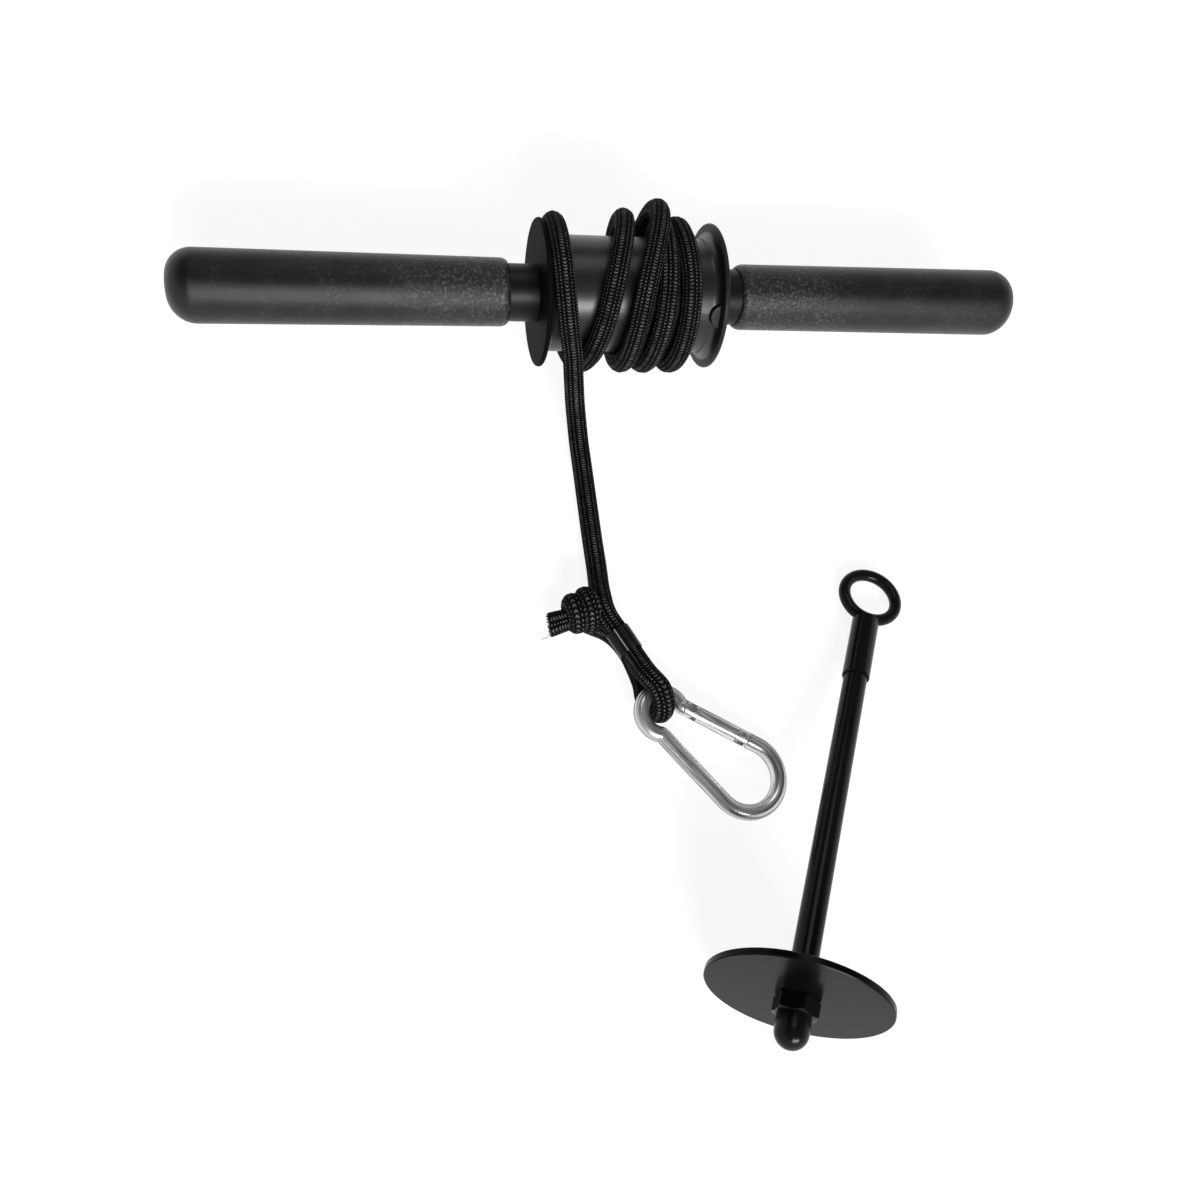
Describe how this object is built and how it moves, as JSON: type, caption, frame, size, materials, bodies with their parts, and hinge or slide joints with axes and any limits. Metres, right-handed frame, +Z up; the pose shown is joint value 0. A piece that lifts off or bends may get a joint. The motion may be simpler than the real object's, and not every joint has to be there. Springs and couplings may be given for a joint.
{
  "type": "wrist roller",
  "caption": "Straight bar with rubber grips and a flanged rope spool, its rope with a snap hook, and a separate loading pin with a plate disc for weight plates.",
  "frame": {"origin": "middle of the base of the box round the bar and the loading pin, on the surface they lie on", "axes": "+X along the bar towards the right grip, +Z up, and the loading pin lies towards -Y"},
  "size_m": [0.428, 0.404, 0.0813],
  "materials": {
    "grip_rubber": "matt, finely pebbled",
    "satin_black_steel": "satin black coat",
    "gloss_black_steel": "gloss black coat",
    "braided_rope": "black braid",
    "band_film": "gloss black film",
    "bright_zinc": "bright zinc plate"
  },
  "bodies": {
    "roller": {"left_handle_tube": "satin_black_steel", "right_handle_tube": "satin_black_steel", "left_grip": "grip_rubber", "right_grip": "grip_rubber", "spool_drum": "satin_black_steel", "left_flange": "satin_black_steel", "right_flange": "satin_black_steel", "drum_plug": "satin_black_steel", "rope_winding": "braided_rope", "stopper_knot": "braided_rope", "rope_fall": "braided_rope", "rope_knot": "braided_rope", "rope_tail": "braided_rope", "rope_loop": "braided_rope", "loop_band": "band_film"},
    "hook": {"hook_body": "bright_zinc", "gate_rivet": "bright_zinc"},
    "gate": {"hook_gate": "bright_zinc", "latch_pin": "bright_zinc", "gate_plunger": "bright_zinc", "gate_spring": "bright_zinc"},
    "loading_pin": {"pin_ring": "gloss_black_steel", "pin_sleeve": "gloss_black_steel", "pin_rod": "gloss_black_steel", "weight_disc": "satin_black_steel", "dome_nut": "gloss_black_steel"}
  },
  "joints": [
    {"name": "hook_swing", "type": "hinge", "parent": "roller", "child": "hook", "pos_m": [-0.0118, -0.0418, 0.0139], "axis": [-0.9369, -0.3421, 0.072], "range_deg": [0, 75]},
    {"name": "gate_hinge", "type": "hinge", "parent": "hook", "child": "gate", "pos_m": [0.00479, -0.05005, 0.01128], "axis": [-0.11, 0.093, -0.9896], "range_deg": [0, 22], "stiffness_Nm_per_rad": 0.2, "springref_deg": -28.65},
    {"name": "pin_lift", "type": "slide", "parent": "roller", "child": "loading_pin", "axis": [0, 0, 1], "range_m": [0, 0.25]}
  ]
}
